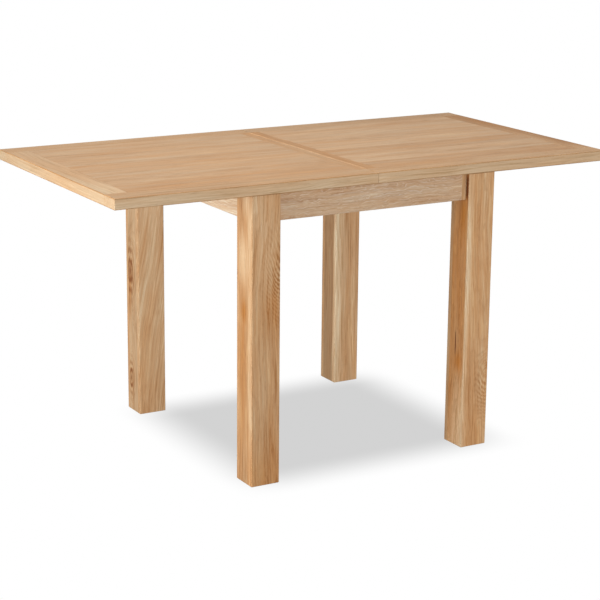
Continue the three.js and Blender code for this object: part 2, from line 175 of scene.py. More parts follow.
# Tone and warmth of boards that are picked out, how far the boards of the legs ripple, and
# how steeply the grain of some of them leans.
EDGE_TONES = {
    ("carrier", "long"): (1.11, -1.2), ("carrier", "end"): (0.98, -1.1),
    ("flip", "long"): (1.11, -0.9), ("flip", "end"): (1.0, -0.6),
}
RIM_TONE = (0.82, 0.8)
# Seam borders: the (strip, rim) looks of each leaf. The rims are painted light: the carrier's dark
# rim is painted shade in the seam's gap, and the flip leaf's pale rim is a painted highlight on its
# arris.
SEAM_EDGE_TONES_AND_PAINTED_LIGHT = {"carrier": ((0.9, 0.6), (0.78, 1.2)), "flip": ((1.0, 0.0), (1.4, -0.3))}
CROSS_BORDER_TONES = {
    ("carrier", "end"): (1.07, -0.4), ("carrier", "seam"): (0.97, 0.6),
    ("flip", "end"): (0.78, 1.6), ("flip", "seam"): (0.92, 1.1),
}
# Paler places in a cross border, in metres: distance from its left side, place along Y, depth
# below the top, size along the grain and size across it.
CROSS_BORDER_BLEACH = {
    ("carrier", "end"): [(0.03, -0.27, 0.045, 0.15, 0.05)],
    ("flip", "end"): [(0, -0.13, 0.036, 0.30, 0.04), (0.03, -0.33, 0.034, 0.13, 0.04)],
}
LEG_BACK_TONE = (1.01, -0.1, 0.0)
LEG_LEANS = {"back_left": {"front": 0.14}, "front_right": {"front": -0.04}}
LEG_CORE_TONES = {
    "front_left": (0.91, 0.1, 0.1), "front_right": (1.11, 1.1, 0.6),
    "back_left": (0.93, -1.0, 0.0), "back_right": (0.75, 0.0, 0.0),
}
LEG_FRONT_THICKNESS = {"front_right": 3 * MM, "front_left": 21 * MM}
LEG_FRONT_TONES = {
    "front_left": (0.985, -0.1, 0.3), "front_right": (1.07, 0.25, 0.3),
    "back_left": (1.0, -0.45, 0.1), "back_right": (1.05, -0.2, 0.1),
}
LONG_APRON_TONE = (1.05, -0.05)
SIDE_APRON_TONE = (1.09, -0.6)
APRON_STRIP_TONE = (0.92, 0.9)

# Joinery.
LEG_FLAT = 16 * MM
OVERRUN = 20 * MM
BORE_GAP = 0.3 * MM
BRACE_THICKNESS = 20 * MM
BRACE_SCREW_INSET = 20 * MM
BRACE_SCREW_SPREAD = 16 * MM
TENON_THICKNESS = 12 * MM
TENON_HEIGHT = 24 * MM
TENON_ROOT = 1.5 * MM
RAIL_END_GAP = 0.3 * MM
GROOVE_DEPTH = 10 * MM
GROOVE_HEIGHT = 12.6 * MM
GROOVE_MIDDLE = 728.3 * MM
TONGUE_LENGTH = 9 * MM
TONGUE_HEIGHT = 11.6 * MM
RUNNER_SCREWS = (0.08, 0.36, 0.64, 0.92)
BATTEN_SCREWS = (0.08, 0.5, 0.92)
BEARER_SCREW_X = 14 * MM

# Hardware. The bolt's end and shank are shares of its thread's radius, and NUT_HEX_ROWS are
# the rows of the nut's profile that are cut to a hexagon.
BOLT_SHANK = 42 * MM
BOLT_END_SHARE = 0.8
BOLT_SHANK_SHARE = 0.98
THREAD_PITCH = 1.25 * MM
THREAD_DEPTH = 0.55 * MM
THREAD_STEPS = 6
THREAD_SIDES = 24
THREAD_LEAD = 1.2 * MM
THREAD_TIP = 0.84
NUT_CORNER_RADIUS = 7.5 * MM
NUT_SIDES = 48
NUT_HEX_ROWS = range(5, 8)
SCREW_PROUD = 0.15 * MM
BUMPER_SCREW_SIZE = 0.62
BUMPER_SCREW_SINK = 1.8 * MM
SLOT_WIDTH = 5 * MM
SLOT_DEPTH = 14 * MM
SLOT_MARGIN = 1 * MM
LINK_INNER_RADIUS = 6 * MM
LINK_STEPS = 20
HINGE_PLACES = ("front", "middle", "back")

CORNERS = {
    "front_left": (-1, -1), "front_right": (1, -1),
    "back_left": (-1, 1), "back_right": (1, 1),
}
SIDES = ("x0", "x1", "y0", "y1")
UP, DOWN = Vector((0, 0, 1)), Vector((0, 0, -1))
FAR_AWAY = Vector((90, 90, 90))

# Marks in the legs, by corner and board: kind, face, place across, height, depth of the
# mark's centre below the face, size up and size across, in millimetres. A deeper mark shows
# more faintly. A board carries at most MARK_LIMIT marks of one kind. Most marks are the
# wood's own; those noted below as painted light and shade are not.
MARK_KINDS = ("knot", "swirl", "stain", "bleach", "crack")
MARK_LIMIT = 2
MARKS = [f"{kind}_{i}" for kind in MARK_KINDS for i in range(MARK_LIMIT)]
LEG_MARKS = {
    ("front_left", "front"): [
        ("swirl", "front", -285, 550, 0, 75, 24), ("stain", "front", -300, 455, 20, 60, 28),
        ("stain", "front", -320, 25, 34, 120, 60),
        ("bleach", "left", -364, 380, -22, 1400, 20), ("bleach", "front", -330, 660, 46, 200, 46),
    ],
    ("front_left", "core"): [
        ("stain", "left", -330, 452, 0, 36, 19), ("stain", "left", -322, 300, 14, 210, 22),
        ("bleach", "left", -328, 585, 18, 75, 34), ("bleach", "left", -350, 740, 24, 60, 30),
    ],
    ("front_right", "front"): [
        ("swirl", "front", 356, 165, 0, 60, 22), ("bleach", "front", 281, 330, 13, 520, 17),
        ("stain", "front", 348, 90, 50, 190, 36),
    ],
    ("front_right", "core"): [
        # The first crack is the wood's own. The second paints shade: a dark slot where the front
        # apron meets the leg, in place of the shadow in that recess.
        ("crack", "left", -333, 287, 0, 46, 3.0), ("crack", "left", -366, 716, 0, 42, 9),
        ("stain", "left", -345, 236, 6, 30, 16), ("stain", "left", -350, 640, 14, 60, 16),
        # The pale flame at the front corner of the foot is the wood's own. Both pale marks reach far
        # up, and the broad deep one lightens the face towards the floor: painted light in place of
        # light from the floor.
        ("bleach", "left", -372, 0, 0, 228, 54), ("bleach", "left", -330, 0, 44, 200, 50),
    ],
    ("back_left", "front"): [
        ("bleach", "front", -320, 620, 50, 150, 50), ("stain", "front", -320, 130, 50, 120, 40),
    ],
    ("back_right", "front"): [
        ("bleach", "left", 279, 300, 0, 900, 24),
    ],
    ("back_left", "core"): [
        ("knot", "left", 346, 412, 2, 50, 22), ("knot", "left", 349, 98, 3, 36, 16),
        ("swirl", "left", 338, 385, 0, 100, 24), ("swirl", "left", 344, 98, 0, 55, 15),
        ("stain", "left", 303, 232, 0, 36, 7), ("stain", "left", 352, 340, 4, 70, 12),
    ],
}


# Stage

def make_camera():
    camera = bpy.data.objects.new("camera", bpy.data.cameras.new("camera"))
    bpy.context.scene.collection.objects.link(camera)
    camera.data.lens = CAMERA_LENS
    camera.data.clip_end = 100
    yaw, pitch = math.radians(CAMERA_YAW), math.radians(CAMERA_PITCH)
    forward = Vector((math.sin(yaw) * math.cos(pitch), math.cos(yaw) * math.cos(pitch),
                      math.sin(pitch)))
    camera.rotation_mode = "QUATERNION"
    roll = Matrix.Rotation(math.radians(-CAMERA_ROLL), 3, forward)
    aim = roll @ forward.to_track_quat("-Z", "Y").to_matrix()
    camera.rotation_quaternion = aim.to_quaternion()
    camera.location = CAMERA_POSITION
    bpy.context.scene.camera = camera


def make_area_light(name, place, size, power, target, colour, glossy):
    light = bpy.data.lights.new(name, "AREA")
    light.shape = "RECTANGLE"
    light.size, light.size_y = size
    light.energy = power
    light.color = colour
    lamp = bpy.data.objects.new(name, light)
    lamp.visible_camera = False
    lamp.visible_glossy = glossy
    lamp.location = place
    aim = Vector(target) - Vector(place)
    lamp.rotation_mode = "QUATERNION"
    lamp.rotation_quaternion = aim.to_track_quat("-Z", "Y")
    bpy.context.scene.collection.objects.link(lamp)


def make_world():
    """White to the camera and a softer grey to the table."""
    world = bpy.data.worlds.new("studio")
    world.use_nodes = True
    tree = world.node_tree
    background = tree.nodes["Background"]
    path = tree.nodes.new("ShaderNodeLightPath")
    # The Mix node's two numbers are its inputs 2 and 3.
    level = tree.nodes.new("ShaderNodeMix")
    level.inputs[2].default_value = WORLD_LIGHT
    level.inputs[3].default_value = 1.0
    tree.links.new(path.outputs["Is Camera Ray"], level.inputs[0])
    tree.links.new(level.outputs[0], background.inputs["Strength"])
    background.inputs["Color"].default_value = (1, 1, 1, 1)
    bpy.context.scene.world = world
    bpy.context.scene.view_settings.view_transform = "Standard"


def make_floor():
    """A bright floor with a soft grey shadow inside the footprint of the legs."""
    bpy.ops.mesh.primitive_plane_add(size=FLOOR_SIZE, location=(0, 0, cad_low.z))
    floor = bpy.context.object
    floor.name = "floor"
    g = Graph("floor_white")
    cover = SHADOW_DEPTH
    for value, (low, high) in zip(g.parts(g.place()), SHADOW_SPAN):
        rise = g.step(value, low - SHADOW_BLUR, low + SHADOW_BLUR)
        fall = g.step(value, high - SHADOW_BLUR, high + SHADOW_BLUR)
        cover = g.times(cover, rise, g.minus(1.0, fall))
    seen = g.minus(1.0, cover)
    lit = g.times(seen, FLOOR_LIGHT)
    camera_ray = g.node("LightPath", {}).outputs["Is Camera Ray"]
    level = g.add(g.times(camera_ray, g.minus(seen, lit)), lit)
    g.put(g.shader.inputs["Emission Strength"], level)
    g.finish((0, 0, 0, 1), 1.0, Emission_Color=(1, 1, 1, 1), Specular_IOR_Level=0.0)
    floor.data.materials.append(g.material)


# Node graphs

def linear(colour):
    """The linear RGBA of an sRGB hex colour."""
    values = [int(colour[i:i + 2], 16) / 255 for i in (0, 2, 4)]
    return tuple(v / 12.92 if v <= 0.04045 else ((v + 0.055) / 1.055) ** 2.4
                 for v in values) + (1.0,)


class Graph:
    """Adds nodes to a new material and wires them."""

    def __init__(self, name):
        self.material = bpy.data.materials.new(name)
        self.material.use_nodes = True
        self.tree = self.material.node_tree
        self.shader = self.tree.nodes["Principled BSDF"]

    def put(self, socket, value):
        if isinstance(value, bpy.types.NodeSocket):
            self.tree.links.new(value, socket)
        else:
            socket.default_value = value

    def node(self, kind, inputs, **settings):
        made = self.tree.nodes.new("ShaderNode" + kind)
        for key, value in settings.items():
            setattr(made, key, value)
        for key, value in inputs.items():
            self.put(made.inputs[key], value)
        return made

    def math(self, operation, *values, clamp=False):
        inputs = dict(enumerate(values))
        return self.node("Math", inputs, operation=operation, use_clamp=clamp).outputs[0]

    def add(self, first, *others):
        for other in others:
            first = self.math("ADD", first, other)
        return first

    def times(self, first, *others):
        for other in others:
            first = self.math("MULTIPLY", first, other)
        return first

    def minus(self, first, second):
        return self.math("SUBTRACT", first, second)

    def line(self, value, slope, start):
        """value * slope + start."""
        return self.math("MULTIPLY_ADD", value, slope, start)

    def vector(self, operation, *values):
        made = self.node("VectorMath", dict(enumerate(values)), operation=operation)
        return made.outputs["Value" if operation == "LENGTH" else "Vector"]

    def scaled(self, vector, factor):
        made = self.node("VectorMath", {0: vector, "Scale": factor}, operation="SCALE")
        return made.outputs["Vector"]

    def parts(self, vector):
        return self.node("SeparateXYZ", {"Vector": vector}).outputs

    def place(self):
        return self.node("TexCoord", {}).outputs["Object"]

    def noise(self, vector, scale, detail, roughness=0.5, output="Fac"):
        """Noise over a vector that is first stretched by the three numbers of scale."""
        stretched = self.vector("MULTIPLY", vector, scale)
        made = self.node("TexNoise", {"Vector": stretched, "Scale": 1.0, "Detail": detail,
                                      "Roughness": roughness})
        return made.outputs[output]

    def texture(self, grain, name):
        """One of the textures of the wood, drawn out along the grain."""
        along, across, detail, roughness = TEXTURES[name]
        return self.noise(grain, (along, across, across), detail, roughness)

    def bend(self, grain, name):
        """One of the bends of the pith line, as an offset across the grain."""
        along, across, detail, reach = BENDS[name]
        colour = self.noise(grain, (along, across, across), detail, output="Color")
        centred = self.vector("SUBTRACT", colour, (0.5, 0.5, 0.5))
        return self.vector("MULTIPLY", centred, (0, reach, reach))

    def mix(self, factor, first, second, blend="MIX"):
        """Mixes two colours, which are the Mix node's inputs 6 and 7 and its output 2."""
        made = self.node("Mix", {"Factor": factor}, data_type="RGBA", blend_type=blend)
        self.put(made.inputs[6], first)
        self.put(made.inputs[7], second)
        return made.outputs[2]

    def ramp(self, value, stops, interpolation="LINEAR"):
        """A ramp through (position, linear RGBA) stops."""
        made = self.node("ValToRGB", {"Fac": value})
        ramp = made.color_ramp
        ramp.interpolation = interpolation
        while len(ramp.elements) < len(stops):
            ramp.elements.new(0.5)
        for element, (position, colour) in zip(ramp.elements, stops):
            element.position = position
            element.color = colour
        return made.outputs["Color"]

    def total(self, terms, centre=0.0):
        """The sum of weight * (value - centre)."""
        return self.add(*[self.times(self.minus(value, centre), weight) for value, weight in terms])

    def bell(self, distance, sharpness):
        """1 at no distance, falling smoothly to 0."""
        return self.math("EXPONENT", self.times(self.math("POWER", distance, 2.0), -sharpness))

    def step(self, value, low, high):
        """0 below low, 1 above high, smooth between."""
        made = self.node("MapRange", {"Value": value, "From Min": low, "From Max": high},
                         interpolation_type="SMOOTHSTEP")
        return made.outputs["Result"]

    def attribute(self, name):
        return self.node("Attribute", {}, attribute_name=name).outputs["Vector"]

    def nearest(self, kind):
        """Distance to the nearest mark of one kind, in that mark's sizes."""
        first, *others = [self.vector("LENGTH", self.attribute(mark)) for mark in MARKS
                          if mark.startswith(kind)]
        for other in others:
            first = self.math("MINIMUM", first, other)
        return first

    def finish(self, colour, roughness, height=None, bump_distance=0.1 * MM, **constants):
        self.put(self.shader.inputs["Base Color"], colour)
        self.put(self.shader.inputs["Roughness"], roughness)
        if height is not None:
            bump = self.node("Bump", {"Height": height, "Distance": bump_distance})
            self.put(self.shader.inputs["Normal"], bump.outputs["Normal"])
        for key, value in constants.items():
            self.shader.inputs[key.replace("_", " ")].default_value = value
        return self.material


# Materials

def make_wood(name, pale, middle, deep, ring_width, ring_depth, roughness, pore_depth,
              contrast, ring_colour=RING_BROWN):
    """Solid wood cut from a log: growth rings about a pith line, fibres, pores and knots.

    The mesh's corner attributes say how each board was cut. grain is the place in the log,
    with the pith along its first axis; board is (tone, warmth, figure); each mark is the
    offset from its centre, in its own sizes.
    """
    g = Graph(name)
    grain = g.attribute("grain")
    tone, warmth, figure = g.parts(g.attribute("board"))
    marks = {kind: g.nearest(kind) for kind in MARK_KINDS}
    knot = g.bell(marks["knot"], 0.7)
    swirl = g.bell(marks["swirl"], 0.8)

    # The pith line wanders slowly, and figured boards ripple.
    ripple = g.scaled(g.bend(grain, "ripple"), g.line(swirl, 0.6, figure))
    wander = g.vector("ADD", g.bend(grain, "slow"), g.bend(grain, "fast"))
    bent = g.vector("ADD", grain, g.vector("ADD", wander, ripple))
    across = g.vector("LENGTH", g.vector("MULTIPLY", bent, (0, 1, 1)))
    along = g.parts(bent)[0]
    radius = g.add(across, g.times(knot, 0.020), g.times(swirl, 0.036))

    # Years of faster and slower growth, and the porous line that starts each ring.
    years = g.node("TexNoise", {"W": g.times(radius, 70.0), "Scale": 1.0, "Detail": 3.0},
                   noise_dimensions="1D").outputs["Fac"]
    turns = g.add(g.math("DIVIDE", radius, ring_width), g.times(years, 3.0))
    line = g.ramp(g.math("FRACT", turns), [(at, (v, v, v, 1)) for at, v in RING_LINE])
    dash = g.step(g.texture(bent, "dash"), 0.38, 0.62)
    ring = g.times(line, g.line(dash, 0.75, 0.25))

    # Streaks, cloudy patches, fine fibres and open pores.
    streak, thread, cloud = [g.step(g.texture(bent, kind), 0.3, 0.7)
                             for kind in ("streak", "thread", "cloud")]
    hue = g.texture(bent, "hue")
    fibre = g.texture(grain, "fibre")
    pore = g.step(g.texture(grain, "pore"), 0.55, 0.66)
    pores = g.times(pore, g.line(line, 0.7, 0.3))
    depth = g.total([(years, 0.42), (streak, 0.24), (cloud, 0.22), (thread, 0.48)], centre=0.5)
    depth = g.line(depth, contrast, 0.5)

    # Flame figure about the swirls, and rings and a halo about the knots.
    slant = g.add(g.times(along, 430.0), g.times(radius, 560.0))
    curls = g.math("SINE", g.add(slant, g.times(g.add(cloud, streak), 3.0)))
    broken = g.times(swirl, figure, g.line(streak, 2.7, 0.5))
    depth = g.add(depth, g.times(curls, broken, 0.62))
    wave = g.math("SINE", g.add(g.times(marks["knot"], 10.0), g.times(streak, 3.5)))
    loops = g.times(g.step(wave, -0.2, 0.9), knot)
    halo = g.times(knot, g.line(wave, 0.65, 0.35))
    depth = g.math("ADD", depth, halo, clamp=True)
    stops = [(0.0, linear(pale)), (0.5, linear(middle)), (1.0, linear(deep))]
    colour = g.ramp(depth, stops, "EASE")
    marked = g.line(g.math("MAXIMUM", knot, swirl), 0.5, ring_depth)
    colour = g.mix(g.times(ring, marked), colour, linear(ring_colour))

    # Boards differ in tone and warmth, stains are warmer, and pale places are cooler and lighter; a
    # few pale places are painted light.
    stain = g.times(g.bell(marks["stain"], 1.0), 2.0)
    bleach = g.bell(g.math("POWER", marks["bleach"], 2.0), 0.9)
    drift = g.times(g.minus(hue, 0.5), HUE_DRIFT * contrast)
    warm = g.add(warmth, drift, stain, g.times(knot, 0.9), g.times(bleach, -2.3))
    tint = g.vector("ADD", g.scaled(WARM_TINT, warm), (1, 1, 1))
    shade = g.total([(fibre, 0.34), (bleach, 0.38), (stain, -0.05)])
    shade = g.add(shade, -0.17, tone)
    colour = g.vector("MULTIPLY", colour, g.scaled(tint, shade))
    colour = g.mix(g.times(pores, pore_depth), colour, linear(PORE_BROWN))
    core = g.minus(1.0, g.step(marks["knot"], 0.05, 0.6))
    dark = g.times(g.math("MAXIMUM", core, loops), 0.8)
    colour = g.mix(dark, colour, linear(KNOT_BROWN))
    # Cracks darken to the crack colour, and the same mark also paints shade as a dark slot in a
    # recess.
    crack_and_shade_line = g.minus(1.0, g.step(marks["crack"], 0.5, 1.0))
    colour = g.mix(g.times(crack_and_shade_line, 0.85), colour, linear(CRACK_AND_SHADE_BROWN))

    rough = g.add(g.total([(pores, 0.18), (fibre, 0.16), (crack_and_shade_line, 0.3)]), roughness - 0.08)
    height = g.total([(fibre, 0.35), (pores, -1.0), (crack_and_shade_line, -3.0)])
    return g.finish(colour, rough, height, 0.12 * MM, Specular_IOR_Level=0.32,
                    Coat_Weight=0.04, Coat_Roughness=0.35)


def make_metal(name, colour, roughness):
    """Brushed metal with faint handling marks."""
    g = Graph(name)
    place = g.place()
    brush = g.noise(place, (1800, 1800, 260), 2.0)
    dull = g.noise(place, (120, 120, 120), 3.0)
    handled = g.mix(1.0, linear(colour), linear(DULL_METAL), "MULTIPLY")
    tint = g.mix(g.step(dull, 0.35, 0.75), linear(colour), handled)
    rough = g.add(g.times(brush, 0.16), g.line(dull, 0.14, roughness))
    return g.finish(tint, rough, brush, 0.02 * MM, Metallic=1.0)


def make_plastic(name, light, dark, roughness, grain_size):
    """Moulded plastic or rubber with a fine texture and slight colour drift."""
    g = Graph(name)
    place = g.place()
    texture = g.noise(place, (grain_size,) * 3, 3.0)
    tint = g.mix(g.noise(place, (70, 70, 70), 2.0), linear(light), linear(dark))
    return g.finish(tint, g.line(texture, 0.2, roughness), texture, 0.05 * MM)


def make_materials():
    kinds = ((make_wood, WOODS), (make_metal, METALS), (make_plastic, PLASTICS))
    return {name: make(name, *facts) for make, table in kinds for name, facts in table.items()}


# Meshes

def new_object(name, mesh):
    made = bpy.data.objects.new(name, mesh)
    bpy.context.scene.collection.objects.link(made)
    return made


def mesh_object(name, bm, smooth_quads=False):
    mesh = bpy.data.meshes.new(name)
    bm.to_mesh(mesh)
    bm.free()
    for face in mesh.polygons:
        face.use_smooth = smooth_quads and len(face.vertices) == 4
    return new_object(name, mesh)


def apply_modifiers(piece):
    """Replaces a piece's mesh by its evaluated one and drops the modifiers."""
    graph = bpy.context.evaluated_depsgraph_get()
    mesh = bpy.data.meshes.new_from_object(piece.evaluated_get(graph))
    old = piece.data
    piece.modifiers.clear()
    piece.data = mesh
    mesh.name = piece.name
    bpy.data.meshes.remove(old)


def ease_corners(piece, arris, segments=2, limit="ANGLE"):
    """Rounds a piece's sharp edges or, with the limit WEIGHT, those that carry a weight."""
    bevel = piece.modifiers.new("eased", "BEVEL")
    bevel.limit_method = limit
    bevel.width = arris
    bevel.segments = segments
    apply_modifiers(piece)


def edge_sides(edge, low, high):
    """Names of the two faces of a box that meet at an edge, such as {'x0', 'z1'}."""
    sides = set()
    for axis, letter in enumerate("xyz"):
        at = [v.co[axis] for v in edge.verts]
        if all(abs(a - low[axis]) < SAME_PLACE for a in at):
            sides.add(letter + "0")
        elif all(abs(a - high[axis]) < SAME_PLACE for a in at):
            sides.add(letter + "1")
    return sides


def eased_block(name, low, high, default, special=()):
    """A box whose edges are rounded over. special is a list of (side, side, radius)."""
    bm = bmesh.new()
    bmesh.ops.create_cube(bm, size=1.0)
    size, centre = Vector(high) - Vector(low), (Vector(high) + Vector(low)) / 2
    for v in bm.verts:
        v.co = Vector(v.co[i] * size[i] for i in range(3)) + centre
    widest = max([default, *(radius for *_, radius in special)])
    weights = bm.edges.layers.float.new("bevel_weight_edge")
    for edge in bm.edges:
        sides = edge_sides(edge, low, high)
        radius = default
        for first, second, wanted in special:
            if sides == {first, second}:
                radius = wanted
        edge[weights] = radius / widest
    piece = mesh_object(name, bm)
    ease_corners(piece, widest, ARRIS_SEGMENTS, "WEIGHT")
    return piece


def combine(piece, others, operation="DIFFERENCE"):
    """Cuts closed meshes out of a piece or, with UNION, joins them to it."""
    for other in others:
        stage = piece.modifiers.new("combine", "BOOLEAN")
        stage.operation = operation
        stage.solver = "EXACT"
        stage.object = other
    apply_modifiers(piece)
    for other in others:
        bpy.data.objects.remove(other)


def split_faces(piece, axis, places):
    """Adds an edge loop where boards are glued together, so that no face crosses a joint."""
    bm = bmesh.new()
    bm.from_mesh(piece.data)
    normal = unit(axis)
    for place in places:
        geometry = bm.verts[:] + bm.edges[:] + bm.faces[:]
        bmesh.ops.bisect_plane(bm, geom=geometry, plane_co=normal * place, plane_no=normal)
    bm.to_mesh(piece.data)
    bm.free()


def smooth_small_faces(piece):
    """Rounded edges shade smooth, and flat faces stay flat."""
    for face in piece.data.polygons:
        flat = max(abs(c) for c in face.normal) > SQUARE_ON
        face.use_smooth = not flat and face.area < SMALL_FACE


def turned_to(direction):
    """The rotation that takes +Z to a direction."""
    return UP.rotation_difference(direction).to_matrix()


def add_ring(bm, centre, turn, distance, reaches):
    """A ring of points about an axis, each with its own reach."""
    ring = []
    for i, reach in enumerate(reaches):
        angle = 2 * math.pi * i / len(reaches)
        local = Vector((reach * math.cos(angle), reach * math.sin(angle), distance))
        ring.append(bm.verts.new(Vector(centre) + turn @ local))
    return ring


def finish_rings(bm, rings, closed=False):
    """Skins a list of rings, and caps them or joins the last to the first."""
    pairs = list(zip(rings, rings[1:])) + ([(rings[-1], rings[0])] if closed else [])
    count = len(rings[0])
    for lower, upper in pairs:
        for i in range(count):
            j = (i + 1) % count
            bm.faces.new((lower[i], lower[j], upper[j], upper[i]))
    if not closed:
        bm.faces.new(reversed(rings[0]))
        bm.faces.new(rings[-1])
    bmesh.ops.recalc_face_normals(bm, faces=bm.faces[:])


def lathe(name, profile, centre, axis, sides=32):
    """A turned piece. profile holds (distance along axis, radius) pairs from end to end."""
    turn = turned_to(Vector(axis).normalized())
    bm = bmesh.new()
    finish_rings(bm, [add_ring(bm, centre, turn, distance, [radius] * sides)
                      for distance, radius in profile])
    return mesh_object(name, bm, smooth_quads=True)


def extrude(name, outline, axis, low, high, arris):
    """An outline run along an axis, with eased edges. Its points leave that axis out."""
    bm = bmesh.new()
    finish_rings(bm, [[bm.verts.new(point[:axis] + (end,) + point[axis:]) for point in outline]
                      for end in (low, high)])
    piece = mesh_object(name, bm)
    if arris:
        ease_corners(piece, arris)
    return piece


def box(node):
    """The lowest and highest corner of a CAD node, and the middle between them."""
    low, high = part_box(node)
    return low, high, (low + high) / 2


# How boards are cut from the log

@dataclass
class Board:
    """One board of a glued-up piece: where it starts, and how it looks."""
    start: float = FIRST
    along: int = X
    facing: int = Z
    tone: float = 1.0
    warmth: float = 0.0
    figure: float = 0.0
    pith: tuple = (0.02, -0.06)
    shift: float = 0.0
    lean: float = 0.0
    axes: tuple = ()
    marks: dict = field(default_factory=dict)


def unit(axis):
    return Vector(1.0 if i == axis else 0.0 for i in range(3))


def grain_axes(board):
    """Directions along the grain, across the face and out of the face."""
    across = 3 - board.along - board.facing
    return board.axes or (unit(board.along), unit(across), unit(board.facing))


def in_grain(point, axes):
    return Vector(axis.dot(point) for axis in axes)


def mark_offset(point, spot, axes):
    """Offset from a mark's centre in its sizes. spot is (centre, size along, size across)."""
    if not spot:
        return FAR_AWAY
    centre, size_along, size_across = spot
    offset = in_grain(Vector(point) - Vector(centre), axes)
    return Vector((offset.x / size_along, offset.y / size_across, offset.z / size_across))


def depth_behind(point, side, corners):
    """How far a point lies behind one side of a piece, named like 'y0' or 'x1'."""
    axis = "xyz".index(side[0])
    places = [c[axis] for c in corners]
    return max(places) - point[axis] if side[1] == "1" else point[axis] - min(places)


def edge_board(face, edges, corners):
    """The board of a face at one of the given edges, if it lies at one."""
    for side, strip, rim in edges:
        if depth_behind(face.center, side, corners) < EDGE_DEPTH:
            return rim if abs(face.normal.z) > RIM_SLOPE else strip
    return None


def paint_boards(piece, boards, split_axis, edges):
    """Writes the corner attributes that the wood materials read.

    edges lists (side, strip, rim): the board seen on one side of the piece, and the one
    on the eased corners above and below it.
    """
    mesh = piece.data
    corners = [v.co for v in mesh.vertices]
    names = ("grain", "board", *MARKS)
    values = {name: [] for name in names}
    for face in mesh.polygons:
        board = [b for b in boards if b.start <= face.center[split_axis]][-1]
        board = edge_board(face, edges, corners) or board
        axes = grain_axes(board)
        for index in face.loop_indices:
            point = mesh.vertices[mesh.loops[index].vertex_index].co
            place = in_grain(point, axes)
            place -= Vector((board.shift, board.pith[0] + board.lean * place.x, board.pith[1]))
            values["grain"].extend(place)
            values["board"].extend((board.tone, board.warmth, board.figure))
            for mark in MARKS:
                values[mark].extend(mark_offset(point, board.marks.get(mark), axes))
    for name in names:
        layer = mesh.attributes.new(name, "FLOAT_VECTOR", "CORNER")
        layer.data.foreach_set("vector", values[name])


def random_board(rng, centre, **known):
    """A board whose pith lies some way behind and beside its centre."""
    middle = in_grain(Vector(centre), grain_axes(Board(**known)))
    side = rng.choice((-1, 1))
    pith = (middle.y + rng.uniform(-PITH_BESIDE, PITH_BESIDE),
            middle.z + side * rng.uniform(*PITH_BEHIND))
    facts = {"tone": rng.uniform(*TONE_RANGE), "warmth": rng.uniform(*WARMTH_RANGE),
             "shift": rng.uniform(-LOG_REACH, LOG_REACH), "pith": pith}
    return Board(**{**facts, **known})


def toned_board(rng, centre, look, **known):
    """A random board with a known tone and warmth."""
    tone, warmth = look
    return random_board(rng, centre, tone=tone, warmth=warmth, **known)


def finish_wood(piece, boards, split_axis, slot, body, node, edges=()):
    split_faces(piece, split_axis, [b.start for b in boards[1:]])
    smooth_small_faces(piece)
    paint_boards(piece, boards, split_axis, edges)
    dress(piece, slot, body, node)


def dress(piece, slot, body, node=None):
    """Gives a piece its material, its body and the CAD node that it stands for."""
    piece.data.materials.clear()
    piece.data.materials.append(materials[slot])
    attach(piece, body)
    if node:
        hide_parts(node)


# The top

def make_panel(leaf, body):
    """A panel of planks with the grain along the table."""
    node = f"{leaf}_leaf_panel"
    low, high, middle = box(node)
    rng = random.Random(node)
    piece = eased_block(node + "_planks", low, high, JOINT_ARRIS)
    width = (high.y - low.y) / len(PLANK_TONES[leaf])
    boards = []
    for i, look in enumerate(PLANK_TONES[leaf]):
        start = low.y + width * i + (rng.uniform(-PLANK_DRIFT, PLANK_DRIFT) * width if i else 0)
        centre = (middle.x, start + width / 2, high.z)
        boards.append(toned_board(rng, centre, look, start=start))
    finish_wood(piece, boards, Y, "oak_panel", body, node)


def make_long_borders(leaf, body, outer, seam):
    """The front and back borders, which run the whole length of the leaf."""
    for name, edge in (("front", "y0"), ("back", "y1")):
        node = f"{leaf}_leaf_{name}_border"
        low, high, middle = box(node)
        special = [(outer, edge, TOP_ARRIS)]
        for z in ("z0", "z1"):
            special += [(edge, z, TOP_ARRIS), (outer, z, TOP_ARRIS), (seam, z, SEAM_ARRIS)]
        piece = eased_block(node + "_board", low, high, JOINT_ARRIS, special)
        rng = random.Random(node)
        boards = [random_board(rng, middle, tone=rng.uniform(*LONG_BORDER_TONES[name]))]
        if node == "flip_leaf_front_border":
            boards.append(toned_board(rng, middle, BORDER_END_TONE, start=BORDER_JOINT_X))
        looks = (EDGE_TONES[(leaf, "long")], EDGE_TONES[(leaf, "end")], RIM_TONE)
        strip, cap, rim = [toned_board(rng, middle, look, facing=Y) for look in looks]
        edges = [(edge, strip, rim), (outer, cap, rim)]
        finish_wood(piece, boards, X, "oak_border", body, node, edges)


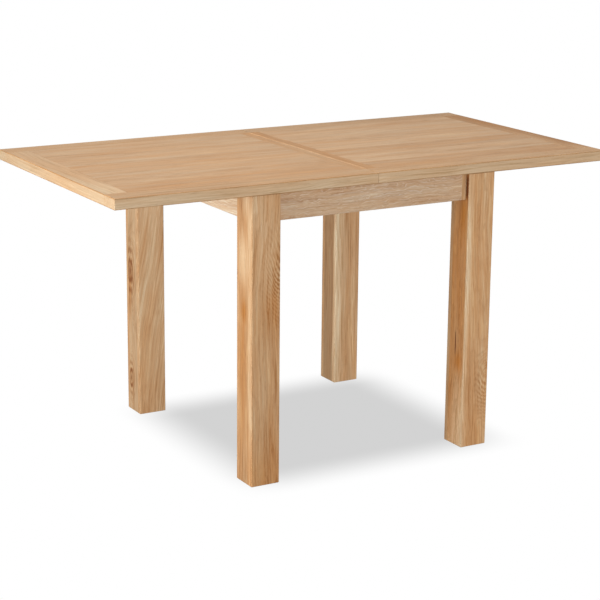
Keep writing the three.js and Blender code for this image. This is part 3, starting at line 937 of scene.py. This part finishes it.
def make_cross_borders(leaf, body, outer, seam):
    """The end and seam borders, with their grain across the table."""
    looks = {"end": (EDGE_TONES[(leaf, "end")], RIM_TONE), "seam": SEAM_EDGE_TONES_AND_PAINTED_LIGHT[leaf]}
    for name, edge, radius in (("end", outer, TOP_ARRIS), ("seam", seam, SEAM_ARRIS)):
        node = f"{leaf}_leaf_{name}_border"
        low, high, middle = box(node)
        special = [(edge, z, radius) for z in ("z0", "z1")]
        piece = eased_block(node + "_board", low, high, JOINT_ARRIS, special)
        if name == "seam":
            combine(piece, hinge_bores(leaf))
        rng = random.Random(node)
        board = toned_board(rng, middle, CROSS_BORDER_TONES[(leaf, name)], along=Y)
        for i, (x, y, below, *sizes) in enumerate(CROSS_BORDER_BLEACH.get((leaf, name), ())):
            board.marks[f"bleach_{i}"] = ((low.x + x, y, high.z - below), *sizes)
        # At the seam the rim is painted light: darker on the carrier as painted shade in the gap,
        # paler on the flip leaf as a painted highlight on its arris.
        strip, rim = [toned_board(rng, middle, look, along=Y, facing=X) for look in looks[name]]
        finish_wood(piece, [board], X, "oak_border", body, node, [(edge, strip, rim)])


def hinge_bores(leaf):
    """Round cutters that leave room for the hinge barrels in the seam."""
    side = 1 if leaf == "flip" else -1
    cutters = []
    for place in HINGE_PLACES:
        low, high, middle = box(f"hinge_barrel_{leaf}_{place}")
        radius = (high.z - low.z) / 2 + BORE_GAP
        profile = [(-OVERRUN, radius), (max(abs(low.x), abs(high.x)) + BORE_GAP, radius)]
        cutters.append(lathe("bore", profile, (0, middle.y, middle.z), (side, 0, 0)))
    return cutters


# The legs and their fastenings

def make_leg(corner):
    """A leg glued up from a front facing, a core and a back facing."""
    sx, sy = CORNERS[corner]
    node = "leg_" + corner
    low, high, _ = box(node)
    uprights = [(x, y, LEG_ARRIS) for x in ("x0", "x1") for y in ("y0", "y1")]
    feet = [(side, "z0", LEG_ARRIS) for side in SIDES]
    piece = eased_block(node + "_post", low, high, JOINT_ARRIS, uprights + feet)
    inner_x = low.x if sx > 0 else high.x
    inner_y = low.y if sy > 0 else high.y
    reach = LEG_FLAT + OVERRUN
    steps = ((-OVERRUN, -OVERRUN), (reach, -OVERRUN), (-OVERRUN, reach))
    outline = [(inner_x + sx * x, inner_y + sy * y) for x, y in steps]
    flat = extrude("flat", outline, Z, box("apron_front")[0].z, high.z + OVERRUN, 0)
    combine(piece, [flat, bolt_bore(corner)])
    finish_wood(piece, leg_boards(corner), Y, "oak_leg", "base", node)


def leg_boards(corner):
    """Three boards through the depth of a leg, with the marks that the table shows."""
    rng = random.Random("leg " + corner)
    low, high, middle = box("leg_" + corner)
    front = LEG_FRONT_THICKNESS.get(corner, LEG_FACING)
    layers = (("front", FIRST, Y, LEG_FRONT_TONES[corner]),
              ("core", low.y + front, X, LEG_CORE_TONES[corner]),
              ("back", high.y - LEG_FACING, Y, LEG_BACK_TONE))
    boards = []
    for name, start, facing, (tone, warmth, figure) in layers:
        look = (tone * rng.uniform(*LEG_TONE_RANGE), warmth + rng.uniform(*LEG_WARMTH_RANGE))
        board = toned_board(rng, middle, look, start=start, along=Z, facing=facing, figure=figure)
        for kind, face, *facts in LEG_MARKS.get((corner, name), ()):
            across, height, below, *sizes = [fact * MM for fact in facts]
            x, y = (low.x + below, across) if face == "left" else (across, low.y + below)
            mark = f"{kind}_{sum(m.startswith(kind) for m in board.marks)}"
            board.marks[mark] = ((x, y, height), *sizes)
        board.lean = LEG_LEANS.get(corner, {}).get(name, 0.0)
        boards.append(board)
    return boards


def diagonal(corner):
    """The outward diagonal of a corner, along which its bolt lies."""
    sx, sy = CORNERS[corner]
    return Vector((sx, sy, 0)).normalized()


def bolt_radius():
    low, high, _ = box("leg_bolt_front_left")
    return (high.z - low.z) / 2


def bolt_line(corner):
    """Centre and half the length of a corner's bolt."""
    low, high, middle = box("leg_bolt_" + corner)
    return middle, (high.x - low.x) / math.sqrt(2) - bolt_radius()


def bolt_bore(corner):
    centre, half = bolt_line(corner)
    end, radius = half + BORE_GAP, bolt_radius() + BORE_GAP
    return lathe("bore", [(-end, radius), (end, radius)], centre, diagonal(corner))


def make_leg_bolt(corner):
    """A stud with a rolled thread where it shows, and a plain shank inside the leg."""
    node = "leg_bolt_" + corner
    centre, half = bolt_line(corner)
    radius = bolt_radius()
    threaded = 2 * half - BOLT_SHANK
    start, rise = half - threaded, THREAD_PITCH / THREAD_STEPS
    stations = [(-half, 0, radius * BOLT_END_SHARE), (start, 0, radius * BOLT_SHANK_SHARE)]
    for row in range(int(threaded / THREAD_PITCH * THREAD_STEPS)):
        stations.append((start + (row + 1) * rise, row, radius))
    turn = turned_to(-diagonal(corner))
    bm = bmesh.new()
    rings = []
    for distance, row, size in stations:
        taper = min(1.0, (half - distance) / THREAD_LEAD * (1 - THREAD_TIP) + THREAD_TIP)
        reaches = []
        for i in range(THREAD_SIDES):
            share = row / THREAD_STEPS - i / THREAD_SIDES
            crest = abs((share % 1.0) * 2 - 1) if row else 1
            reaches.append((size - THREAD_DEPTH * (1 - crest)) * taper)
        rings.append(add_ring(bm, centre, turn, distance, reaches))
    finish_rings(bm, rings)
    dress(mesh_object(node + "_stud", bm), "steel", "base", node)


def make_leg_nut(corner):
    """A flanged hexagon nut with chamfered corners."""
    node = "leg_nut_" + corner
    low, high, centre = box(node)
    flange = (high.z - low.z) / 2
    end = (high.x - low.x) / math.sqrt(2) - flange
    bore, widest = bolt_radius() + BORE_GAP, NUT_CORNER_RADIUS
    rows = [(-end, bore), (-end, flange - 0.5 * MM), (0.4 * MM - end, flange),
            (1.1 * MM - end, flange), (1.6 * MM - end, flange - 0.7 * MM),
            (2.0 * MM - end, widest), (end - 1.0 * MM, widest), (end, widest - 1.7 * MM),
            (end, bore + 0.5 * MM), (end - 0.6 * MM, bore)]
    hexagon = []
    for i in range(NUT_SIDES):
        from_flat = (2 * math.pi * i / NUT_SIDES) % (math.pi / 3) - math.pi / 6
        hexagon.append(widest * math.cos(math.pi / 6) / math.cos(from_flat))
    turn = turned_to(-diagonal(corner))
    bm = bmesh.new()
    rings = []
    for number, (distance, radius) in enumerate(rows):
        cut = number in NUT_HEX_ROWS
        reaches = [min(radius, reach) if cut else radius for reach in hexagon]
        rings.append(add_ring(bm, centre, turn, distance, reaches))
    finish_rings(bm, rings, closed=True)
    dress(mesh_object(node + "_hex", bm), "steel", "base", node)


def make_brace(corner):
    """A beech brace across the corner, bored for the bolt, with four screws."""
    sx, sy = CORNERS[corner]
    node = "corner_brace_" + corner
    low, high, middle = box(node)
    wall_x, wall_y = max(abs(low.x), abs(high.x)), max(abs(low.y), abs(high.y))
    inner = min(abs(low.x), abs(high.x)) + wall_y
    outer = inner + BRACE_THICKNESS * math.sqrt(2)
    points = [(wall_x, outer - wall_x), (outer - wall_y, wall_y), (inner - wall_y, wall_y),
              (wall_x, inner - wall_x)]
    outline = [(sx * x, sy * y) for x, y in points]
    piece = extrude(node + "_board", outline, Z, low.z, high.z, HIDDEN_ARRIS)
    combine(piece, [bolt_bore(corner)])
    board = random_board(random.Random("brace " + corner), middle)
    span = Vector((sx, -sy, 0)).normalized()
    board.axes = (span, UP, diagonal(corner))
    finish_wood(piece, [board], X, "beech", "base", node)
    skew = (wall_x - wall_y) / 2
    face = Vector((sx * inner / 2, sy * inner / 2, (low.z + high.z) / 2))
    face += Vector((sx * skew, sy * -skew, 0))
    reach = (wall_x - (inner / 2 + skew)) * math.sqrt(2) - BRACE_SCREW_INSET
    for end in (-1, 1):
        for lift in (-BRACE_SCREW_SPREAD, BRACE_SCREW_SPREAD):
            add_screw("base", face + span * end * reach + Vector((0, 0, lift)), -diagonal(corner))


def make_foot_glide(corner):
    node = "foot_glide_" + corner
    low, high, middle = box(node)
    radius = (high.x - low.x) / 2
    profile = [(high.z, radius), (0.9 * MM, radius), (0.25 * MM, radius - 0.7 * MM),
               (0, radius - 2 * MM), (0, 5.2 * MM), (0.8 * MM, 4.6 * MM), (0.8 * MM, 3.6 * MM),
               (0.4 * MM, 2.6 * MM)]
    piece = lathe(node + "_disc", profile, (middle.x, middle.y, 0), UP)
    dress(piece, "nylon", "base", node)


def make_bumper(corner):
    sx = CORNERS[corner][0]
    node = "bumper_" + corner
    low, high, middle = box(node)
    radius, length = (high.z - low.z) / 2, high.x - low.x
    root = Vector((low.x if sx < 0 else high.x, middle.y, middle.z))
    profile = [(0, radius), (1.2 * MM, radius), (length - 2.2 * MM, radius - 0.9 * MM),
               (length - 0.8 * MM, radius - 1.7 * MM), (length, radius - 3.2 * MM),
               (length, 3.4 * MM), (length - 2.4 * MM, 2.9 * MM)]
    dress(lathe(node + "_stop", profile, root, (-sx, 0, 0)), "rubber", "base", node)
    place = root - Vector((sx * (length - BUMPER_SCREW_SINK), 0, 0))
    add_screw("base", place, Vector((-sx, 0, 0)), BUMPER_SCREW_SIZE)


# Screws

def screw_mesh():
    """A countersunk head with a cross recess, facing +Z with its top at the origin."""
    profile = [(-3.4 * MM, 1.6 * MM), (-0.5 * MM, 3.9 * MM), (-0.1 * MM, 4.0 * MM), (0, 3.8 * MM)]
    head = lathe("screw", profile, (0, 0, 0), UP, 24)
    arms = []
    for x, y in ((2.2 * MM, 0.5 * MM), (0.5 * MM, 2.2 * MM)):
        arms.append(eased_block("arm", (-x, -y, -1.6 * MM), (x, y, 1 * MM), 0.05 * MM))
    combine(head, arms)
    return head


def add_screw(body, place, out, scale=1.0):
    """Notes a screw head, to be joined later with the others on its body."""
    screws.setdefault(body, []).append((place, out, scale))


def make_screws():
    """One piece of screw heads for each body."""
    master = screw_mesh()
    for body, spots in screws.items():
        bm = bmesh.new()
        for place, out, scale in spots:
            rng = random.Random(str(place))
            spin = Matrix.Rotation(rng.uniform(0, math.pi), 4, "Z")
            turn = turned_to(out.normalized()).to_4x4()
            lifted = Matrix.Translation(place + out.normalized() * SCREW_PROUD)
            known = set(bm.verts)
            bm.from_mesh(master.data)
            fresh = [v for v in bm.verts if v not in known]
            move = lifted @ turn @ spin @ Matrix.Diagonal((scale, scale, scale, 1))
            bmesh.ops.transform(bm, matrix=move, verts=fresh)
        dress(mesh_object("screws_" + body, bm), "steel", body)
    bpy.data.objects.remove(master)


# Aprons, rails and runners

def make_long_apron(name, outer, inner):
    """The front and back aprons. The front one has a darker, warmer strip with upright grain at its
    right end.
    """
    node = "apron_" + name
    low, high, middle = box(node)
    special = [(side, "z0", APRON_ARRIS) for side in (outer, inner)]
    special += [(outer, side, HIDDEN_ARRIS) for side in ("z1", "x1", "x0")]
    piece = eased_block(node + "_board", low, high, JOINT_ARRIS, special)
    rng = random.Random(node)
    boards = [toned_board(rng, middle, LONG_APRON_TONE, facing=Y, figure=1.0)]
    if name == "front":
        start = high.x - APRON_END_STRIP
        boards.append(toned_board(rng, middle, APRON_STRIP_TONE, start=start, along=Z, facing=Y))
    finish_wood(piece, boards, X, "oak_apron", "base", node)


def make_side_apron(name, outer, inner):
    """The left and right aprons, with mortises for the rails' tenons."""
    node = "apron_" + name
    low, high, middle = box(node)
    special = [(x, z, arris) for x in (outer, inner)
               for z, arris in (("z0", APRON_ARRIS), ("z1", HIDDEN_ARRIS))]
    piece = eased_block(node + "_board", low, high, JOINT_ARRIS, special)
    combine(piece, [tenon(rail, name == "right", BORE_GAP) for rail in ("front", "back")])
    board = toned_board(random.Random(node), middle, SIDE_APRON_TONE, along=Y, facing=X,
                        figure=0.25)
    finish_wood(piece, [board], X, "oak_apron", "base", node)


def tenon(rail, right, gap=0.0):
    """The stub tenon at one end of a rail, or with a gap the mortise for it."""
    _, high, middle = box("guide_rail_" + rail)
    half_y, half_z = TENON_THICKNESS / 2 + gap, TENON_HEIGHT / 2 + gap
    x0, x1 = box("apron_right")[0].x - TENON_ROOT, high.x + gap
    if not right:
        x0, x1 = -x1, -x0
    return eased_block("tenon", Vector((x0, middle.y - half_y, middle.z - half_z)),
                       Vector((x1, middle.y + half_y, middle.z + half_z)), FINE_ARRIS)


def make_guide_rail(name, sy):
    """A grooved beech rail with stub tenons."""
    node = "guide_rail_" + name
    low, high, middle = box(node)
    half = box("apron_right")[0].x - RAIL_END_GAP
    near, far = sorted((abs(low.y), abs(high.y)))
    deep = near + GROOVE_DEPTH
    g0, g1 = GROOVE_MIDDLE - GROOVE_HEIGHT / 2, GROOVE_MIDDLE + GROOVE_HEIGHT / 2
    points = [(near, low.z), (far, low.z), (far, high.z), (near, high.z), (near, g1),
              (deep, g1), (deep, g0), (near, g0)]
    outline = [(sy * y, z) for y, z in points]
    piece = extrude(node + "_grooved", outline, X, -half, half, RAIL_ARRIS)
    combine(piece, [tenon(name, right) for right in (False, True)], "UNION")
    board = random_board(random.Random(node), middle, facing=Y)
    finish_wood(piece, [board], X, "beech", "base", node)


def make_runner(name, sy):
    """A runner under the carrier leaf, with the tongue that slides in the rail."""
    node = "runner_" + name
    low, high, middle = box(node)
    inner, tip = sorted((abs(low.y), abs(high.y)))
    outer = tip - TONGUE_LENGTH
    t0, t1 = GROOVE_MIDDLE - TONGUE_HEIGHT / 2, GROOVE_MIDDLE + TONGUE_HEIGHT / 2
    points = [(inner, low.z), (outer, low.z), (outer, t0), (tip, t0), (tip, t1), (outer, t1),
              (outer, high.z), (inner, high.z)]
    outline = [(sy * y, z) for y, z in points]
    piece = extrude(node + "_tongued", outline, X, low.x, high.x, RUNNER_ARRIS)
    board = random_board(random.Random(node), middle, facing=Y)
    finish_wood(piece, [board], X, "beech", "carrier", node)
    for share in RUNNER_SCREWS:
        x = low.x + (high.x - low.x) * share
        add_screw("carrier", Vector((x, sy * (inner + outer) / 2, low.z)), DOWN)


def make_batten(node, seed, body, eased):
    """A beech batten across the table, eased along the given (side, side) edges."""
    low, high, middle = box(node)
    special = [(x, z, BATTEN_ARRIS) for x, z in eased]
    piece = eased_block(node + "_batten", low, high, BATTEN_END_ARRIS, special)
    board = random_board(random.Random(seed), middle, along=Y)
    finish_wood(piece, [board], X, "beech", body, node)
    return low, high, middle


def make_cross_bar(name):
    node = "cross_bar_" + name
    low, high, middle = make_batten(node, node, "carrier", [("x0", "z0"), ("x1", "z0")])
    for share in BATTEN_SCREWS:
        y = low.y + (high.y - low.y) * share
        add_screw("carrier", Vector((middle.x, y, low.z)), DOWN)


def make_cross_bearer():
    eased = [(x, z) for x in ("x0", "x1") for z in ("z0", "z1")]
    low, _, _ = make_batten("cross_bearer", "bearer", "base", eased)
    for rail in ("front", "back"):
        for x in (-BEARER_SCREW_X, BEARER_SCREW_X):
            spot = Vector((x, box("guide_rail_" + rail)[2].y, low.z))
            add_screw("base", spot, DOWN)


def make_glide_strip(name):
    node = "glide_strip_" + name
    low, high, _ = box(node)
    special = [(side, "z1", STRIP_ARRIS) for side in SIDES]
    piece = eased_block(node + "_strip", low, high, FINE_ARRIS, special)
    smooth_small_faces(piece)
    dress(piece, "nylon", "base", node)


# Hinges

def make_hinge_barrel(leaf, body, place):
    """A ribbed barrel with a chamfered face and the slot for its link."""
    node = f"hinge_barrel_{leaf}_{place}"
    side = 1 if leaf == "flip" else -1
    low, high, middle = box(node)
    radius, length = (high.z - low.z) / 2, high.x - low.x
    face = Vector((low.x if side > 0 else high.x, middle.y, middle.z))
    profile = [(0, radius - 0.5 * MM), (0.4 * MM, radius), (4 * MM, radius)]
    while profile[-1][0] < length - 3 * MM:
        at = profile[-1][0]
        profile += [(at + 0.5 * MM, radius - 0.4 * MM), (at + 1.1 * MM, radius - 0.4 * MM),
                    (at + 1.6 * MM, radius)]
    profile += [(length - 0.6 * MM, radius), (length, radius - 0.6 * MM)]
    piece = lathe(node + "_ribbed", profile, face, (side, 0, 0), 40)
    x0, x1 = sorted((face.x - side * SLOT_MARGIN, face.x + side * SLOT_DEPTH))
    half = SLOT_WIDTH / 2
    slot = eased_block("slot", Vector((x0, face.y - half, low.z - SLOT_MARGIN)),
                       Vector((x1, face.y + half, high.z + SLOT_MARGIN)), 0.1 * MM)
    combine(piece, [slot])
    piece.data.shade_flat()
    dress(piece, "brass", body, node)


def make_hinge_link(place):
    """The curved link, as half a ring with eased edges."""
    node = "hinge_link_" + place
    low, high, _ = box(node)
    outer = (high.x - low.x) / 2
    axis_z = low.z + outer
    steps = range(LINK_STEPS + 1)
    outline = []
    for radius, order in ((outer, steps), (LINK_INNER_RADIUS, reversed(steps))):
        start = math.asin((axis_z - high.z) / radius)
        for i in order:
            angle = start + (math.pi - 2 * start) * i / LINK_STEPS
            outline.append((radius * math.cos(angle), axis_z - radius * math.sin(angle)))
    piece = extrude(node + "_arc", outline, Y, low.y, high.y, LINK_ARRIS)
    dress(piece, "brass", "hinge_links", node)


# The table

def make_top():
    leaves = (("carrier", "carrier", "x0", "x1"), ("flip", "flip_leaf", "x1", "x0"))
    for leaf, body, outer, seam in leaves:
        make_panel(leaf, body)
        make_long_borders(leaf, body, outer, seam)
        make_cross_borders(leaf, body, outer, seam)
        for place in HINGE_PLACES:
            make_hinge_barrel(leaf, body, place)
    for place in HINGE_PLACES:
        make_hinge_link(place)


def make_base():
    for corner in CORNERS:
        make_leg(corner)
        make_foot_glide(corner)
        make_brace(corner)
        make_leg_bolt(corner)
        make_leg_nut(corner)
        make_bumper(corner)
    make_long_apron("front", "y0", "y1")
    make_long_apron("back", "y1", "y0")
    make_side_apron("left", "x0", "x1")
    make_side_apron("right", "x1", "x0")
    make_cross_bearer()


def make_slides():
    for name, sy in (("front", -1), ("back", 1)):
        make_guide_rail(name, sy)
        make_glide_strip(name)
        make_runner(name, sy)
    for name in ("outer", "inner"):
        make_cross_bar(name)


make_camera()
make_world()
for light_facts in LIGHTS:
    make_area_light(*light_facts)
make_floor()
materials = make_materials()
screws = {}
make_top()
make_base()
make_slides()
make_screws()
